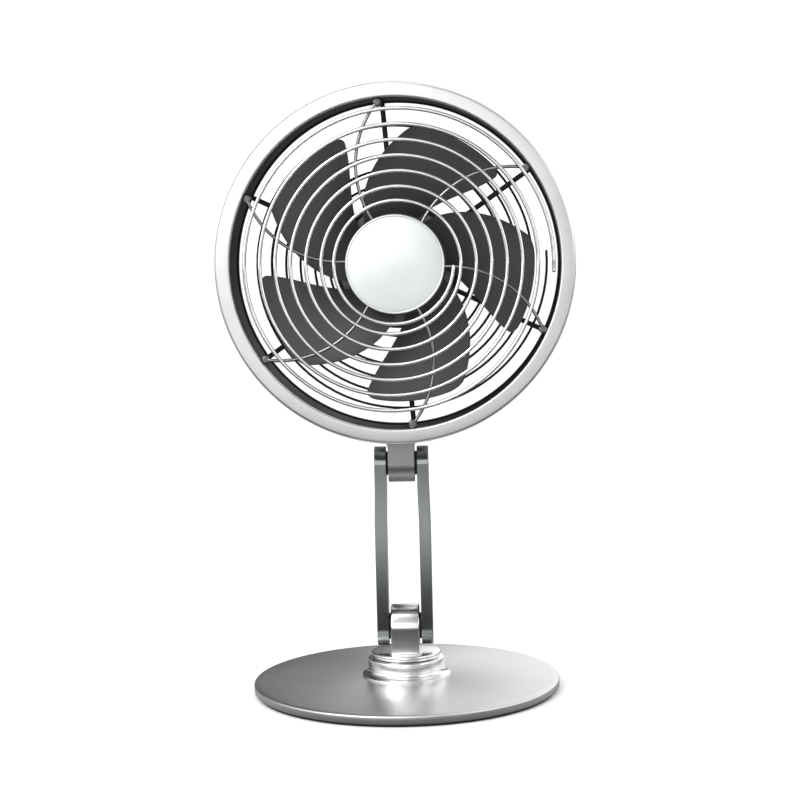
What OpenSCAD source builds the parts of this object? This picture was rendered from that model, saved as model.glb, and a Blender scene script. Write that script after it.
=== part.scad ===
// Desk fan: a round drum head on a double-hinged neck over a weighted disc base.
// Units are millimetres, +Z is up and the fan blows towards -Y.
// The origin is the centre of the underside of the base.

/* [Base] */
// Radius of the base disc
base_r = 96.7; // [90:0.1:105]
// Height of the base disc at its rim, with the rubber pad
base_h = 7; // [6.5:0.1:9]
// Rise of the base disc from its rim to the collar seat
base_crown = 2; // [0.5:0.1:3]
// Thickness of the rubber pad
pad_t = 1.6; // [1:0.1:2]
// Radius of the swivel collar above its flared foot
collar_r = 24; // [22:0.1:26]
// Height of the swivel collar
collar_h = 11.6; // [11:0.1:13]
// Radius of the turning disc on the collar
disc_r = 21.9; // [20:0.1:22]

/* [Neck] */
// Height of the lower hinge pin
lower_pin_z = 40; // [39.5:0.1:42]
// Distance between the two hinge pins
arm_span = 103.8; // [95:0.1:110]
// Thickness of an arm across the neck
arm_t = 7.2; // [6.8:0.1:8]
// Half of the gap between the arms at the lower pin
lower_gap = 10.3; // [10.2:0.1:11.5]
// Half of the gap between the arms at the upper pin
upper_gap = 9.7; // [9.4:0.05:10]
// Radius of an arm's lower end
lower_end_r = 12; // [11.5:0.1:13]
// Radius of an arm's upper end
upper_end_r = 10.7; // [10.2:0.1:11.5]
// Width of the knuckle block
knuckle_w = 17.9; // [17:0.1:18.5]
// Radius of the knuckle block about the lower pin
knuckle_r = 13.8; // [13:0.1:14.5]
// Width of the head bracket's tongue
tongue_w = 16.4; // [14:0.1:17]
// Radius of the tongue about the upper pin
tongue_r = 11.8; // [11:0.1:12.5]
// Radius of the hinge pins
pin_r = 4; // [3.5:0.1:4.2]

/* [Head] */
// Outer radius of the front bezel
bezel_r = 108.7; // [106:0.1:112]
// Inner radius of the front bezel
bezel_in_r = 99.8; // [99:0.1:101]
// Outer radius of the drum
drum_r = 107.9; // [107:0.1:108]
// Height of the head's axis
head_z = 268.7; // [266:0.1:272]
// Distance of the bezel's face in front of the neck
face_z = 43; // [42:0.1:45]
// Distance of the drum's rear edge behind the neck
drum_back = 35; // [34:0.1:38]
// Radius of the hub cap
cap_r = 29.8; // [28:0.1:31]

/* [Guards] */
// Radius of the spiral wire
spiral_wire_r = 1.15; // [0.9:0.05:1.3]
// Radius of the spoke wires
spoke_wire_r = 1; // [0.8:0.05:1.2]
// Radius at which the spiral starts
spiral_in_r = 35.2; // [34:0.1:37]
// Distance from one turn of the spiral to the next
spiral_pitch = 9.27; // [9:0.01:9.35]
// Angle of the spiral's free end, seen from the front
spiral_start = -3.6; // [-10:0.1:10]
// Angle at which the first front spoke leaves the hub
spoke_start = -5.4; // [-10:0.1:10]
// Number of spokes in each guard
spoke_n = 6; // [6:1:8]
// Angle that a front spoke sweeps from the hub to its eyelet
spoke_sweep = -19.6; // [-30:0.1:-15]
// Bend radius of a front spoke
spoke_bend_r = 60; // [55:1:90]
// Angle of the first straight bar of the rear guard
bar_start = 34.3; // [30:0.1:40]

/* [Blades] */
// Number of blades
blade_n = 5; // [4:1:6]
// Radius of the blade tips
blade_r = 85; // [80:0.5:90]
// Thickness of a blade at its middle
blade_t = 2.2; // [1.8:0.1:3]

/* [Motor] */
// Radius of the motor case
motor_r = 36; // [34:0.5:37]
// Radius of the motor shaft
shaft_r = 2.5; // [2:0.1:3]
// Radius of the speed knob
knob_r = 10; // [8:0.5:12]

/* [Hidden] */
$fn = 96;
eps = 0.02; // overlap that lets a cutter pass a face
run_fit = 0.05; // radial clearance of a turning pin

// Heights in the base and the turntable
base_top_z = base_h + base_crown;
pocket_z = pad_t + 3.6;
collar_top_z = base_top_z + collar_h;
slip_t = 0.6;
disc_z = collar_top_z + slip_t;
disc_top_z = disc_z + 3.2;
stud_r = 8;
bolt_r = 2.5;
seat_r = 28.4;
collar_flare = 3.9;

// Neck
upper_pin_z = lower_pin_z + arm_span;
step_low = 0.6; // where the arms step in, as parts of the span
step_length = 0.3;
web_t = 2.7; // arm wall left under a pin's head
lower_sink_r = 8.4;
upper_sink_r = 7.5;
cap_t = 0.9;

// Head: children of in_head() are drawn with z towards the front, y up and x to the right
shell_t = 1.5;
liner_in_r = 103.3;
liner_t = 1.3;
lip_z = face_z - 2;
spiral_z = face_z - spiral_wire_r;
spoke_z = spiral_z - spiral_wire_r - spoke_wire_r;
eyelet_ring_r = 97.2;
eyelet_r = 2.3;
eyelet_z = spoke_z - spoke_wire_r;
saddle_t = 3;
saddle_half_w = 9.8;
saddle_half_l = 20;
saddle_screw_y = 15.6;
frame_z = -29; // front face of the rear frame
frame_t = 3;
frame_in_r = 102.2;
rear_wire_r = 0.8;
case_back_z = frame_z + 3.4;
case_front_z = 3;
bearing_r = 6.5;
bearing_t = 5;
board_z = -33;
cover_back_z = -43;
cover_r = 41;
cover_t = 2;

// Impeller
hub_r = 31;
hub_back_z = 5.5;
hub_front_z = 33.5;
blade_root_r = hub_r - 1;
blade_steps = 20; // along the chord
blade_rows = 8; // along the radius

// ---------------------------------------------------------------- helpers

// Points along an arc, from angle a to angle b
function arc(cx, cy, r, a, b, n = 8) =
    [for (i = [0 : n]) let (t = a + (b - a) * i / n) [cx + r * cos(t), cy + r * sin(t)]];

// A value between a and b, with a soft start and a soft end
function ease(a, b, t) = a + (b - a) * (1 - cos(180 * max(0, min(1, t)))) / 2;

module ring(r_out, r_in, h) {
    difference() {
        cylinder(r = r_out, h = h);
        translate([0, 0, -eps]) cylinder(r = r_in, h = h + 2 * eps);
    }
}

module band(r_out, r_in, z_low, z_high) {
    translate([0, 0, z_low]) ring(r_out, r_in, z_high - z_low);
}

module in_head() {
    translate([0, 0, head_z]) rotate([90, 0, 0]) children();
}

// Puts children at a pin, with their z along +X
module at_pin(z) {
    translate([0, 0, z]) rotate([90, 0, 90]) children();
}

module spread(n, r, first = 0) {
    for (i = [0 : n - 1]) rotate([0, 0, first + i * 360 / n]) translate([r, 0, 0]) children();
}

// ---------------------------------------------------------------- base

module base_plate() {
    rim = 0.8;
    top = [for (i = [0 : 6]) let (s = i / 6, r = seat_r + (base_r - rim - seat_r) * s)
        [r, base_top_z - base_crown * s * s]];
    color("silver") difference() {
        rotate_extrude() polygon(concat(
            [[0, pad_t], [base_r - rim, pad_t], [base_r, pad_t + rim], [base_r, base_h - rim]],
            [for (i = [6 : -1 : 0]) top[i]],
            [[0, base_top_z]]));
        translate([0, 0, pad_t - eps]) cylinder(r = 24, h = pocket_z - pad_t + eps);
        cylinder(r = stud_r + 1, h = base_top_z + eps);
        spread(3, 17.5, 30) cylinder(r = 1.6, h = base_top_z + eps);
    }
}

module base_pad() {
    color("black") cylinder(r = base_r - 2, h = pad_t);
}

module swivel_collar() {
    foot_r = collar_r + collar_flare;
    foot_z = base_top_z + 1.2;
    chamfer = 0.7;
    color("silver") difference() {
        rotate_extrude() polygon(concat(
            [[stud_r + run_fit, base_top_z], [foot_r, base_top_z]],
            arc(foot_r, foot_z + collar_flare, collar_flare, 270, 180),
            [[collar_r, collar_top_z - chamfer], [collar_r - chamfer, collar_top_z],
             [stud_r + run_fit, collar_top_z]]));
        translate([0, 0, base_top_z - eps]) spread(3, 17.5, 30) cylinder(r = 1.5, h = 7);
    }
}

module collar_screws() {
    color("gray") spread(3, 17.5, 30) {
        translate([0, 0, pocket_z - 1.8]) cylinder(r = 2.8, h = 1.8);
        translate([0, 0, pocket_z]) cylinder(r = 1.48, h = 8);
    }
}

module slip_washer() {
    color("white") band(18, stud_r + 0.6, collar_top_z, disc_z);
}

module wave_washer() {
    color("gray") band(12.5, stud_r + 0.6, pocket_z - 0.5, pocket_z);
}

// ---------------------------------------------------------------- turntable

module swivel_disc() {
    chamfer = 0.8;
    stud_z = pad_t + 0.6;
    color("silver") difference() {
        rotate_extrude() polygon([
            [bolt_r + 0.1, stud_z], [stud_r, stud_z], [stud_r, disc_z],
            [disc_r - 0.4, disc_z], [disc_r, disc_z + 0.4], [disc_r, disc_top_z - chamfer],
            [disc_r - chamfer, disc_top_z], [bolt_r + 0.1, disc_top_z]]);
        translate([0, 0, stud_z - eps]) cylinder(r = 4.6, h = 3.2);
    }
}

module swivel_nut() {
    color("gray") difference() {
        translate([0, 0, pad_t + 0.6]) cylinder(r = 13, h = 2.4, $fn = 6);
        cylinder(r = stud_r + 0.02, h = 10);
    }
}

module turntable_bolt() {
    color("gray") {
        translate([0, 0, pad_t + 0.8]) cylinder(r = 4.4, h = 2.98);
        translate([0, 0, pad_t + 0.8]) cylinder(r = bolt_r, h = 29);
    }
}

module knuckle_block() {
    foot = lower_pin_z - disc_top_z;
    color("silver") difference() {
        union() {
            at_pin(lower_pin_z) cylinder(r = knuckle_r, h = knuckle_w, center = true);
            translate([-knuckle_w / 2, -knuckle_r, disc_top_z]) cube([knuckle_w, 2 * knuckle_r, foot]);
        }
        at_pin(lower_pin_z) cylinder(r = pin_r + run_fit, h = knuckle_w + 1, center = true);
        translate([0, 0, disc_top_z - eps]) cylinder(r = bolt_r + 0.02, h = pad_t + 30 - disc_top_z);
    }
}

// ---------------------------------------------------------------- arms

// The arm's inner face at a height: it steps in below the upper pin
function arm_inner(z) = ease(lower_gap, upper_gap, (z - lower_pin_z - step_low * arm_span) / (step_length * arm_span));

module arm_side_outline() {
    lean = asin((lower_end_r - upper_end_r) / arm_span);
    low = [lower_end_r * cos(lean), lower_pin_z + lower_end_r * sin(lean)];
    high = [upper_end_r * cos(lean), upper_pin_z + upper_end_r * sin(lean)];
    translate([0, lower_pin_z]) circle(r = lower_end_r);
    translate([0, upper_pin_z]) circle(r = upper_end_r);
    polygon([low, high, [-high[0], high[1]], [-low[0], low[1]]]);
}

module arm_front_outline() {
    heights = concat([lower_pin_z - 2 * lower_end_r],
        [for (i = [0 : 10]) lower_pin_z + arm_span * (step_low + step_length * i / 10)],
        [upper_pin_z + 2 * upper_end_r]);
    n = len(heights);
    polygon(concat(
        [for (z = heights) [arm_inner(z), z]],
        [for (i = [n - 1 : -1 : 0]) [arm_inner(heights[i]) + arm_t, heights[i]]]));
}

module right_arm_solid() {
    difference() {
        intersection() {
            rotate([90, 0, 0]) linear_extrude(height = 4 * lower_end_r, center = true) arm_front_outline();
            rotate([90, 0, 90]) linear_extrude(height = 4 * lower_end_r) arm_side_outline();
        }
        at_pin(lower_pin_z) cylinder(r = pin_r + 0.02, h = 60);
        at_pin(upper_pin_z) cylinder(r = pin_r + 0.02, h = 60);
        at_pin(lower_pin_z) translate([0, 0, lower_gap + web_t]) cylinder(r = lower_sink_r, h = 20);
        at_pin(upper_pin_z) translate([0, 0, upper_gap + web_t]) cylinder(r = upper_sink_r, h = 20);
    }
}

module right_arm() {
    color("slategray") right_arm_solid();
}

module left_arm() {
    color("slategray") mirror([1, 0, 0]) right_arm_solid();
}

module hinge_pin(z, gap) {
    seat = gap + web_t;
    color("gray") at_pin(z) {
        translate([0, 0, -seat - 2.2]) cylinder(r = 6.2, h = 2.2);
        translate([0, 0, -seat]) cylinder(r = pin_r, h = 2 * seat + 3.3);
    }
}

module lower_pin() hinge_pin(lower_pin_z, lower_gap);
module upper_pin() hinge_pin(upper_pin_z, upper_gap);

module disc_springs(z, gap) {
    color("silver") at_pin(z) band(6.6, pin_r + 0.1, gap + web_t, gap + web_t + 1.1);
}

module lower_disc_springs() disc_springs(lower_pin_z, lower_gap);
module upper_disc_springs() disc_springs(upper_pin_z, upper_gap);

module pin_nut(z, gap) {
    color("gray") at_pin(z) translate([0, 0, gap + web_t + 1.1]) difference() {
        cylinder(r = 6.8, h = 2.2, $fn = 6);
        translate([0, 0, -eps]) cylinder(r = pin_r + 0.02, h = 3);
    }
}

module lower_pin_nut() pin_nut(lower_pin_z, lower_gap);
module upper_pin_nut() pin_nut(upper_pin_z, upper_gap);

// One washer on each side of a part of the given width
module friction_washers(z, r, width, gap) {
    color("black") at_pin(z) for (side = [0, 1]) mirror([0, 0, side])
        band(r, pin_r + 0.1, width / 2, gap);
}

module lower_friction_washers() friction_washers(lower_pin_z, 8.2, knuckle_w, lower_gap);
module upper_friction_washers() friction_washers(upper_pin_z, 7.5, tongue_w, upper_gap);

module arm_caps() {
    color("slategray") for (side = [0, 1]) mirror([side, 0, 0]) {
        at_pin(lower_pin_z) translate([0, 0, lower_gap + arm_t - cap_t])
            cylinder(r = lower_sink_r, h = cap_t);
        at_pin(upper_pin_z) translate([0, 0, upper_gap + arm_t - cap_t])
            cylinder(r = upper_sink_r, h = cap_t);
    }
}

// ---------------------------------------------------------------- head shell

module head_bracket() {
    saddle_r = drum_r + saddle_t;
    flare_r = 5;
    flare = concat(
        arc(tongue_w / 2 + flare_r, head_z - saddle_r - 3.4, flare_r, 180, 133, 6),
        [[saddle_half_w, head_z - saddle_r + 1]]);
    color("gray") difference() {
        union() {
            at_pin(upper_pin_z) cylinder(r = tongue_r, h = tongue_w, center = true);
            translate([-tongue_w / 2, -tongue_r, upper_pin_z])
                cube([tongue_w, 2 * tongue_r, head_z - drum_r - upper_pin_z + 1]);
            rotate([90, 0, 0]) linear_extrude(height = 2 * tongue_r, center = true) polygon(concat(
                flare, [for (i = [len(flare) - 1 : -1 : 0]) [-flare[i][0], flare[i][1]]]));
            intersection() {
                in_head() cylinder(r = saddle_r, h = 2 * saddle_half_l, center = true);
                translate([-saddle_half_w, -saddle_half_l, head_z - saddle_r - 1])
                    cube([2 * saddle_half_w, 2 * saddle_half_l, 6]);
            }
        }
        in_head() cylinder(r = drum_r + eps, h = 60, center = true);
        at_pin(upper_pin_z) cylinder(r = pin_r + run_fit, h = 40, center = true);
        for (y = [-saddle_screw_y, saddle_screw_y])
            translate([0, y, head_z - saddle_r - 1]) cylinder(r = 1.5, h = 8);
    }
}

module bracket_screws() {
    head_low = head_z - sqrt(pow(drum_r - shell_t, 2) - 9);
    color("gray") for (y = [-saddle_screw_y, saddle_screw_y]) translate([0, y, 0]) {
        translate([0, 0, head_low]) cylinder(r = 2.8, h = 1.6);
        translate([0, 0, head_z - drum_r - saddle_t + 0.6]) cylinder(r = 1.48, h = saddle_t + shell_t + 1);
    }
}

module drum_shell() {
    color("silver") difference() {
        in_head() {
            band(drum_r, drum_r - shell_t, -drum_back, face_z - 7.5);
            band(drum_r - shell_t + 0.4, drum_r - 2.6, face_z - 13, lip_z - 0.1);
            band(drum_r - 0.5, liner_in_r + liner_t + 0.1, -drum_back, -drum_back + shell_t);
        }
        for (y = [-saddle_screw_y, saddle_screw_y])
            translate([0, y, head_z - drum_r - 2]) cylinder(r = 1.6, h = 8);
    }
}

module bezel_ring() {
    outer_round = 2;
    inner_round = 1;
    slope = 0.5; // fall of the face from its inner to its outer edge
    skirt_t = 1.6;
    color("lightgray") in_head() rotate_extrude() polygon(concat(
        [[bezel_r, face_z - 7]],
        arc(bezel_r - outer_round, face_z - slope - outer_round, outer_round, 0, 86, 6),
        arc(bezel_in_r + inner_round, face_z - inner_round, inner_round, 90, 180, 5),
        [[bezel_in_r, lip_z - 2.2], [bezel_in_r + skirt_t, lip_z - 2.2], [bezel_in_r + skirt_t, lip_z],
         [bezel_r - skirt_t, lip_z], [bezel_r - skirt_t, face_z - 7]]));
}

module duct_liner() {
    color("black") in_head() difference() {
        union() {
            band(liner_in_r + liner_t, liner_in_r, -drum_back + 0.2, lip_z - 2.3);
            spread(spoke_n, eyelet_ring_r, spoke_start + spoke_sweep) {
                translate([0, 0, eyelet_z - 7]) cylinder(r = 2.4, h = 7);
                translate([0, -1.6, eyelet_z - 7]) cube([liner_in_r - eyelet_ring_r + 0.4, 3.2, 4]);
            }
        }
        spread(spoke_n, eyelet_ring_r, spoke_start + spoke_sweep)
            translate([0, 0, eyelet_z - 6]) cylinder(r = 1, h = 7);
    }
}

// ---------------------------------------------------------------- guards

// The spiral is a chain of half turns. Its first turn grows at half the pitch of the rest.
function spiral_r(k) = spiral_in_r + (k < 2 ? k * 1.5 : 4.5 + (k - 2) * spiral_pitch / 2);

half_turns = 14;

module guard_spiral(wire_r, first = 0) {
    for (k = [first : half_turns - 1]) {
        r_now = spiral_r(k);
        r_next = spiral_r(k + 1);
        side = k % 2 == 0 ? 1 : -1;
        translate([side * (r_now - r_next) / 2, 0, 0]) rotate([0, 0, 90 + 90 * side])
            rotate_extrude(angle = 180) translate([(r_now + r_next) / 2, 0])
                circle(r = wire_r, $fn = 24);
    }
}

module front_guard_spiral() {
    color("gainsboro") in_head() translate([0, 0, spiral_z]) rotate([0, 0, spiral_start])
        guard_spiral(spiral_wire_r);
}

// A wire bent to one radius, from the hub to its eyelet
module curved_spoke() {
    start = [26, 0];
    end = eyelet_ring_r * [cos(spoke_sweep), sin(spoke_sweep)];
    chord = end - start;
    half_bend = asin(norm(chord) / 2 / spoke_bend_r);
    heading = atan2(chord[1], chord[0]) + half_bend;
    centre = start + spoke_bend_r * [sin(heading), -cos(heading)];
    translate([centre[0], centre[1], 0]) rotate([0, 0, heading + 90 - 2 * half_bend])
        rotate_extrude(angle = 2 * half_bend) translate([spoke_bend_r, 0]) circle(r = spoke_wire_r, $fn = 24);
}

module front_guard_spokes() {
    color("gainsboro") in_head() difference() {
        union() {
            translate([0, 0, spoke_z]) spread(spoke_n, 0, spoke_start) curved_spoke();
            spread(spoke_n, eyelet_ring_r, spoke_start + spoke_sweep)
                translate([0, 0, eyelet_z]) cylinder(r = eyelet_r, h = 1);
        }
        spread(spoke_n, eyelet_ring_r, spoke_start + spoke_sweep) {
            translate([0, 0, eyelet_z - 1]) cylinder(r = 1.1, h = 4);
            translate([0, 0, eyelet_z + 1]) cylinder(r = eyelet_r - 0.2, h = 2);
        }
    }
}

module guard_screws() {
    color("gray") in_head() spread(spoke_n, eyelet_ring_r, spoke_start + spoke_sweep) {
        translate([0, 0, eyelet_z + 1]) cylinder(r = 1.9, h = 0.55);
        translate([0, 0, eyelet_z - 5.5]) cylinder(r = 0.98, h = 6.6);
    }
}

module hub_cap() {
    rim_z = face_z - 0.4;
    dome = 2.4;
    dome_r = cap_r - 1.4;
    sphere_r = (dome_r * dome_r + dome * dome) / (2 * dome);
    back_z = spoke_z + spoke_wire_r;
    color("whitesmoke") in_head() difference() {
        union() {
            rotate_extrude() polygon(concat(
                [[0, back_z], [cap_r - 0.8, back_z], [cap_r, back_z + 0.8], [cap_r, rim_z - 0.7],
                 [cap_r - 0.7, rim_z], [dome_r + 0.3, rim_z], [dome_r + 0.2, rim_z - 0.5]],
                [for (i = [0 : 8]) let (r = dome_r * (1 - i / 8))
                    [r, rim_z + dome - sphere_r + sqrt(sphere_r * sphere_r - r * r)]]));
            spread(3, 14, 28) translate([0, 0, eyelet_z]) cylinder(r = 3, h = 2 * spoke_wire_r + eps);
        }
        spread(3, 14, 28) translate([0, 0, eyelet_z - 1]) cylinder(r = 1.02, h = 4);
    }
}

module hub_clamp() {
    color("black") in_head() difference() {
        translate([0, 0, eyelet_z - 2]) cylinder(r = cap_r - 2.2, h = 2);
        spread(3, 14, 28) translate([0, 0, eyelet_z - 3]) cylinder(r = 1.2, h = 4);
    }
}

module clamp_screws() {
    color("gray") in_head() spread(3, 14, 28) {
        translate([0, 0, eyelet_z - 3.2]) cylinder(r = 2, h = 1.2);
        translate([0, 0, eyelet_z - 2]) cylinder(r = 1, h = 4.8);
    }
}

// Six straight bars between a centre plate and a ring that plugs into the liner
module rear_frame() {
    back_z = frame_z - frame_t;
    color("black") in_head() difference() {
        union() {
            band(liner_in_r - eps, frame_in_r, back_z, frame_z);
            spread(spoke_n, 0, bar_start) translate([cover_r - 2, -1.6, back_z])
                cube([frame_in_r - cover_r + 2.6, 3.2, frame_t]);
            translate([0, 0, back_z]) cylinder(r = cover_r, h = case_back_z - back_z);
        }
        translate([0, 0, back_z - 1]) cylinder(r = 11, h = 9);
        spread(4, 22, 45) translate([0, 0, back_z - 1]) cylinder(r = 1.6, h = 9);
        spread(3, 32, 90) translate([0, 0, back_z - 1]) cylinder(r = 1.3, h = 9);
    }
}

module rear_guard_spiral() {
    color("black") in_head() translate([0, 0, frame_z - frame_t - rear_wire_r])
        mirror([0, 1, 0]) rotate([0, 0, spiral_start]) guard_spiral(rear_wire_r, first = 3);
}

// ---------------------------------------------------------------- motor

module motor_case() {
    wall = 1.8;
    color("dimgray") in_head() difference() {
        translate([0, 0, case_back_z]) cylinder(r = motor_r, h = case_front_z - case_back_z);
        translate([0, 0, case_back_z + 3])
            cylinder(r = motor_r - wall, h = case_front_z - case_back_z - 3 - wall);
        translate([0, 0, case_front_z - wall - eps]) cylinder(r = bearing_r, h = wall + 1);
        translate([0, 0, case_back_z - 1]) cylinder(r = bearing_r, h = 5);
        spread(4, 22, 45) translate([0, 0, case_back_z - 1]) cylinder(r = 1.5, h = 3);
    }
}

module motor_screws() {
    color("gray") in_head() spread(4, 22, 45) {
        translate([0, 0, frame_z - frame_t - 1.6]) cylinder(r = 2.8, h = 1.6);
        translate([0, 0, frame_z - frame_t]) cylinder(r = 1.48, h = 8.2);
    }
}

module bearing(front_z) {
    color("silver") in_head() band(bearing_r, shaft_r + run_fit, front_z - bearing_t, front_z);
}

module front_bearing() bearing(case_front_z);
module rear_bearing() bearing(case_back_z + bearing_t);

stator_back_z = -17;
stator_h = 11;
teeth = 9;

module stator_core() {
    color("silver") in_head() translate([0, 0, stator_back_z]) {
        ring(motor_r - 1.8, 28, stator_h);
        for (i = [0 : teeth - 1]) rotate([0, 0, i * 360 / teeth])
            translate([19.5, -2, 0]) cube([9, 4, stator_h]);
        intersection() {
            ring(20.5, 16.5, stator_h);
            for (i = [0 : teeth - 1]) rotate([0, 0, i * 360 / teeth])
                translate([10, -4, 0]) cube([12, 8, stator_h]);
        }
    }
}

module stator_coils() {
    color("peru") in_head() spread(teeth, 21, 0) difference() {
        translate([0, -4.2, stator_back_z - 2]) cube([6.2, 8.4, stator_h + 4]);
        translate([-1, -2.05, stator_back_z - 0.05]) cube([9, 4.1, stator_h + 0.1]);
    }
}

module rear_cover() {
    front_z = frame_z - frame_t;
    edge = 2.4;
    color("dimgray") in_head() difference() {
        union() {
            rotate_extrude() difference() {
                polygon(concat(
                    [[0, front_z], [cover_r, front_z]],
                    arc(cover_r - edge, cover_back_z + edge, edge, 0, -90, 6),
                    [[0, cover_back_z]]));
                polygon([[-1, front_z + 1], [cover_r - cover_t, front_z + 1],
                    [cover_r - cover_t, cover_back_z + cover_t], [-1, cover_back_z + cover_t]]);
            }
            spread(3, 32, 90) translate([0, 0, cover_back_z + 1])
                cylinder(r = 2.8, h = front_z - cover_back_z - 1);
        }
        translate([0, 0, cover_back_z - 1]) cylinder(r = 3.6, h = 5);
        spread(3, 32, 90) translate([0, 0, cover_back_z - 1]) {
            cylinder(r = 1.2, h = 20);
            cylinder(r = 2.2, h = 2.6);
        }
        translate([-4.7, -21.9, cover_back_z - 1]) cube([9.4, 3.8, 5]);
        for (a = [-50 : 10 : 50]) rotate([0, 0, 90 + a])
            translate([20, -1, cover_back_z - 1]) cube([6.5, 2, 5]);
    }
}

module cover_screws() {
    color("gray") in_head() spread(3, 32, 90) {
        translate([0, 0, cover_back_z + 0.2]) cylinder(r = 2.1, h = 1.4);
        translate([0, 0, cover_back_z + 1.6]) cylinder(r = 1.15, h = 14);
    }
}

module control_board() {
    color("green") in_head() difference() {
        translate([0, 0, board_z - 1.6]) cylinder(r = 28, h = 1.6);
        spread(4, 22, 45) translate([0, 0, board_z - 3]) cylinder(r = 3.4, h = 6);
    }
}

module power_inlet() {
    color("silver") in_head() difference() {
        translate([-4.5, -21.7, cover_back_z + 0.6]) cube([9, 3.4, board_z - 1.6 - cover_back_z - 0.6]);
        difference() {
            translate([-4.1, -21.3, cover_back_z]) cube([8.2, 2.6, 6.4]);
            translate([-3.2, -20.35, cover_back_z + 1.4]) cube([6.4, 0.7, 6]);
        }
    }
}

module speed_pot() {
    color("dimgray") in_head() difference() {
        translate([0, 0, cover_back_z + cover_t + 0.3])
            cylinder(r = 7, h = board_z - 1.6 - cover_back_z - cover_t - 0.3);
        translate([0, 0, cover_back_z]) cylinder(r = 2.8 + run_fit, h = 6.2);
    }
}

module speed_knob() {
    back_z = cover_back_z - 8.6;
    color("silver") in_head() {
        translate([0, 0, cover_back_z]) cylinder(r = 2.8, h = 5.6);
        difference() {
            union() {
                translate([0, 0, back_z]) cylinder(r1 = knob_r - 1, r2 = knob_r, h = 1);
                translate([0, 0, back_z + 1]) cylinder(r = knob_r, h = 7.2);
                translate([0, 0, back_z + 2]) cylinder(r = 5, h = 6.6);
            }
            spread(30, knob_r + 0.35) translate([0, 0, back_z + 1.4]) cylinder(r = 0.7, h = 8, $fn = 16);
            translate([-0.5, 5, back_z - 1]) cube([1, 3.5, 1.5]);
        }
    }
}

// ---------------------------------------------------------------- rotor

module motor_shaft() {
    color("silver") in_head() translate([0, 0, case_back_z + 0.4]) cylinder(r = shaft_r, h = 61);
}

module rotor_magnet() {
    color("dimgray") in_head() band(15.9, shaft_r + 0.01, stator_back_z, stator_back_z + stator_h);
}

module impeller_hub() {
    wall = 2.2;
    front = 3.4;
    color("dimgray") in_head() difference() {
        union() {
            difference() {
                translate([0, 0, hub_back_z]) cylinder(r = hub_r, h = hub_front_z - hub_back_z);
                translate([0, 0, hub_back_z - eps])
                    cylinder(r = hub_r - wall, h = hub_front_z - front - hub_back_z + eps);
            }
            translate([0, 0, hub_back_z + 4]) cylinder(r = 6, h = hub_front_z - hub_back_z - 5);
        }
        translate([0, 0, hub_back_z]) cylinder(r = shaft_r + 0.01, h = 40);
        translate([0, 0, hub_front_z - 1.6]) cylinder(r = 9, h = 4);
    }
}

module hub_nut() {
    color("silver") in_head() difference() {
        translate([0, 0, hub_front_z - 1.6]) cylinder(r = 5.5, h = 3, $fn = 6);
        translate([0, 0, hub_front_z - 3]) cylinder(r = shaft_r + 0.02, h = 8);
    }
}

// A blade's outline: u runs from the leading edge (0) to the trailing edge (1), v from root to tip
function lead_angle(v) = 65.3 - 47.7 * v + 22 * v * v;
function trail_angle(v) = 127 - 42.2 * v;
function corner(s) = 1 - sqrt(1 - pow(max(0, min(1, s)), 2));
function tip_at(u) = blade_r * (1 - 0.075 * corner((u - 0.78) / 0.22) - 0.045 * corner((0.1 - u) / 0.1));
function blade_z(u, v) = let (back = 7.5 + 2 * v, front = 32.5 - 3 * v)
    back + (front - back) * u - 3 * sin(180 * u) * (1 - 0.3 * v);
function blade_half_t(u, v) = 0.3 + (blade_t / 2 - 0.3) * sin(180 * u) * (1 - 0.4 * v);
function blade_point(u, v, side) = let (
        a = lead_angle(v) * (1 - u) + trail_angle(v) * u,
        r = blade_root_r + (tip_at(u) - blade_root_r) * v)
    [r * cos(a), r * sin(a), blade_z(u, v) + side * blade_half_t(u, v)];

module blade_solid() {
    n = blade_steps + 1;
    m = blade_rows + 1;
    us = [for (i = [0 : blade_steps]) (1 - cos(180 * i / blade_steps)) / 2];
    points = [for (side = [1, -1], j = [0 : blade_rows], u = us) blade_point(u, j / blade_rows, side)];
    function at(side, i, j) = side * n * m + j * n + i;
    front = [for (j = [0 : m - 2], i = [0 : n - 2], f = [
        [at(0, i, j), at(0, i, j + 1), at(0, i + 1, j)],
        [at(0, i + 1, j), at(0, i, j + 1), at(0, i + 1, j + 1)]]) f];
    back = [for (j = [0 : m - 2], i = [0 : n - 2], f = [
        [at(1, i, j), at(1, i + 1, j), at(1, i, j + 1)],
        [at(1, i + 1, j), at(1, i + 1, j + 1), at(1, i, j + 1)]]) f];
    rim = concat(
        [for (i = [0 : n - 2]) [i, 0, i + 1, 0]],
        [for (j = [0 : m - 2]) [n - 1, j, n - 1, j + 1]],
        [for (i = [n - 1 : -1 : 1]) [i, m - 1, i - 1, m - 1]],
        [for (j = [m - 1 : -1 : 1]) [0, j, 0, j - 1]]);
    walls = [for (e = rim, f = [
        [at(0, e[0], e[1]), at(0, e[2], e[3]), at(1, e[0], e[1])],
        [at(1, e[0], e[1]), at(0, e[2], e[3]), at(1, e[2], e[3])]]) f];
    polyhedron(points = points, faces = concat(front, back, walls));
}

module blade(i) {
    color("dimgray") in_head() rotate([0, 0, (1 - i) * 360 / blade_n]) blade_solid();
}

// ---------------------------------------------------------------- output

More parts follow.
